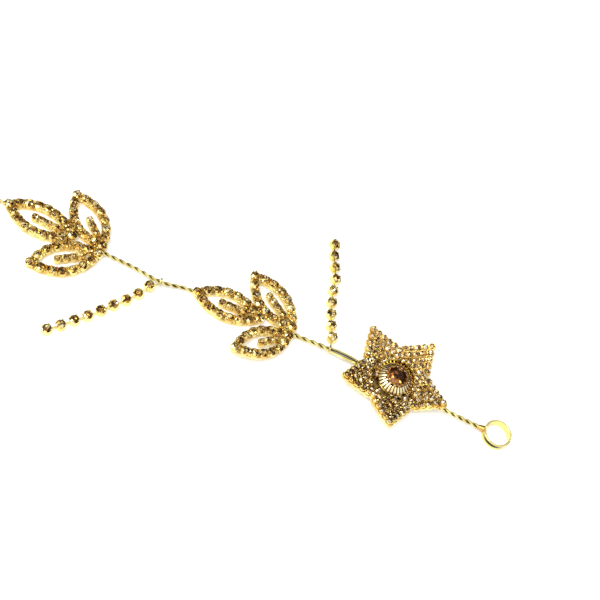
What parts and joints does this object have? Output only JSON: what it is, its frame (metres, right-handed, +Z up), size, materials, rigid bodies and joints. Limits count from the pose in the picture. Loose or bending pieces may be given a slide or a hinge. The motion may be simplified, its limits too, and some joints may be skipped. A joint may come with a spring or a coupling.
{
  "type": "hair vine tiara",
  "caption": "Hair vine tiara of twisted wire with leaf sprays, a star flower and strands of cup chain, and a ring at each end for hair pins.",
  "frame": {"origin": "centre of the whole vine's box, on the surface that it lies on", "axes": "+X along the vine from its leaf end to its flower end, +Z up, away from the surface"},
  "size_m": [0.1726, 0.0654, 0.0055],
  "materials": {
    "gold": "polished pale gold plate",
    "jewelled_gold": "polished pale gold plate set with champagne cut glass"
  },
  "bodies": {
    "root": {"end_ring_left": "gold", "end_ring_right": "gold", "wire_left": "gold", "wire_long": "gold", "wire_middle": "gold", "wire_right": "gold", "leaf_spray_left": "jewelled_gold", "leaf_spray_right": "jewelled_gold", "star_flower": "jewelled_gold", "flower_centre": "jewelled_gold", "strand_1_hook": "gold", "strand_1_cup_1": "jewelled_gold", "strand_1_cup_2": "jewelled_gold", "strand_1_cup_3": "jewelled_gold", "strand_1_cup_4": "jewelled_gold", "strand_1_cup_5": "jewelled_gold", "strand_1_cup_6": "jewelled_gold", "strand_1_cup_7": "jewelled_gold", "strand_1_cup_8": "jewelled_gold", "strand_1_cup_9": "jewelled_gold", "strand_1_link_1": "gold", "strand_1_link_2": "gold", "strand_1_link_3": "gold", "strand_1_link_4": "gold", "strand_1_link_5": "gold", "strand_1_link_6": "gold", "strand_1_link_7": "gold", "strand_1_link_8": "gold", "strand_2_hook": "gold", "strand_2_cup_1": "jewelled_gold", "strand_2_cup_2": "jewelled_gold", "strand_2_cup_3": "jewelled_gold", "strand_2_cup_4": "jewelled_gold", "strand_2_cup_5": "jewelled_gold", "strand_2_cup_6": "jewelled_gold", "strand_2_cup_7": "jewelled_gold", "strand_2_cup_8": "jewelled_gold", "strand_2_cup_9": "jewelled_gold", "strand_2_link_1": "gold", "strand_2_link_2": "gold", "strand_2_link_3": "gold", "strand_2_link_4": "gold", "strand_2_link_5": "gold", "strand_2_link_6": "gold", "strand_2_link_7": "gold", "strand_2_link_8": "gold"}
  },
  "joints": []
}
